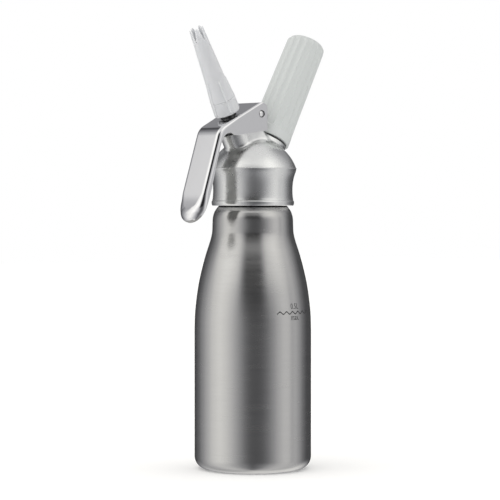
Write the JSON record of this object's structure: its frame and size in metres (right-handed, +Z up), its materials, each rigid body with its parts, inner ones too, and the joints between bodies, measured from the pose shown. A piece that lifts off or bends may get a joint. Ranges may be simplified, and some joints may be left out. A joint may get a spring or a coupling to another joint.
{
  "type": "whipped cream dispenser",
  "caption": "Steel bottle with a screw-on cast head, sprung lever valve, slotted decorator tip and screw-on gas charger holder, standing on its flat base.",
  "frame": {"origin": "centre of the bottle's flat base", "axes": "+Z up along the bottle; the lever and the decorator tip lean towards -X, the charger holder towards +X; Y = 0 is the plane of symmetry"},
  "size_m": [0.1225, 0.08, 0.3015],
  "materials": {
    "brushed_bottle_steel": "fine brushing round the bottle",
    "satin_aluminium": "bead-blasted satin",
    "polished_steel": "polished",
    "pin_steel": "ground",
    "stem_steel": "fine turned",
    "spring_steel": "drawn wire",
    "washer_steel": "plain",
    "charger_steel": "zinc plated",
    "liner_aluminium": "machined",
    "white_tip_plastic": "moulded, semi-gloss",
    "white_holder_plastic": "moulded, semi-gloss",
    "black_rubber": "moulded"
  },
  "bodies": {
    "bottle": {"bottle": "brushed_bottle_steel"},
    "gasket": {"head_gasket": "black_rubber"},
    "head": {"head": "satin_aluminium", "lever_pivot_pin": "pin_steel", "stem_o_ring": "black_rubber", "spring_seat_washer": "washer_steel", "valve_spring": "spring_steel", "piercing_pin": "pin_steel", "charger_seal": "black_rubber", "inlet_check_valve": "black_rubber", "inlet_retainer": "liner_aluminium"},
    "lever": {"lever": "polished_steel"},
    "stem": {"valve_stem": "stem_steel", "valve_disc": "black_rubber", "valve_disc_washer": "washer_steel", "valve_nut": "washer_steel"},
    "tip_seal": {"tip_seal": "black_rubber"},
    "tip": {"decorator_tip": "white_tip_plastic", "tip_insert": "liner_aluminium"},
    "charger": {"gas_charger": "charger_steel"},
    "holder": {"holder_sleeve": "white_holder_plastic", "holder_liner": "liner_aluminium", "holder_end_pad": "black_rubber"}
  },
  "joints": [
    {"name": "head_lift", "type": "slide", "parent": "bottle", "child": "gasket", "axis": [0, 0, 1], "range_m": [0, 0.00801]},
    {"name": "head_turn", "type": "hinge", "parent": "gasket", "child": "head", "pos_m": [0, 0, 0.19], "axis": [0, 0, 1], "range_deg": [0, 720]},
    {"name": "lever_squeeze", "type": "hinge", "parent": "head", "child": "lever", "pos_m": [-0.0024, 0, 0.2429], "axis": [0, -1, 0], "range_deg": [0, 6], "stiffness_Nm_per_rad": 2.4, "springref_deg": -4.58},
    {"name": "stem_press", "type": "slide", "parent": "head", "child": "stem", "axis": [0.4478, 0, -0.8942], "range_m": [0, 0.003], "deforming": ["valve_spring"]},
    {"name": "tip_feed", "type": "slide", "parent": "stem", "child": "tip_seal", "axis": [-0.4478, 0, 0.8942], "range_m": [0, 0.00716]},
    {"name": "tip_turn", "type": "hinge", "parent": "tip_seal", "child": "tip", "pos_m": [-0.02226, 0, 0.24123], "axis": [-0.4478, 0, 0.8942], "range_deg": [0, 1170]},
    {"name": "charger_feed", "type": "slide", "parent": "head", "child": "charger", "axis": [0.4726, 0, 0.8813], "range_m": [0, 0.00976]},
    {"name": "holder_turn", "type": "hinge", "parent": "charger", "child": "holder", "pos_m": [0.0143, 0, 0.2255], "axis": [0.4726, 0, 0.8813], "range_deg": [0, 1170]}
  ],
  "couplings": [
    {"joint": "head_lift", "follows": "head_turn", "m_per_rad": 0.00063662},
    {"joint": "stem_press", "follows": "lever_squeeze", "m_per_rad": 0.0285},
    {"joint": "tip_feed", "follows": "tip_turn", "m_per_rad": 0.00035014},
    {"joint": "charger_feed", "follows": "holder_turn", "m_per_rad": 0.00047746}
  ]
}
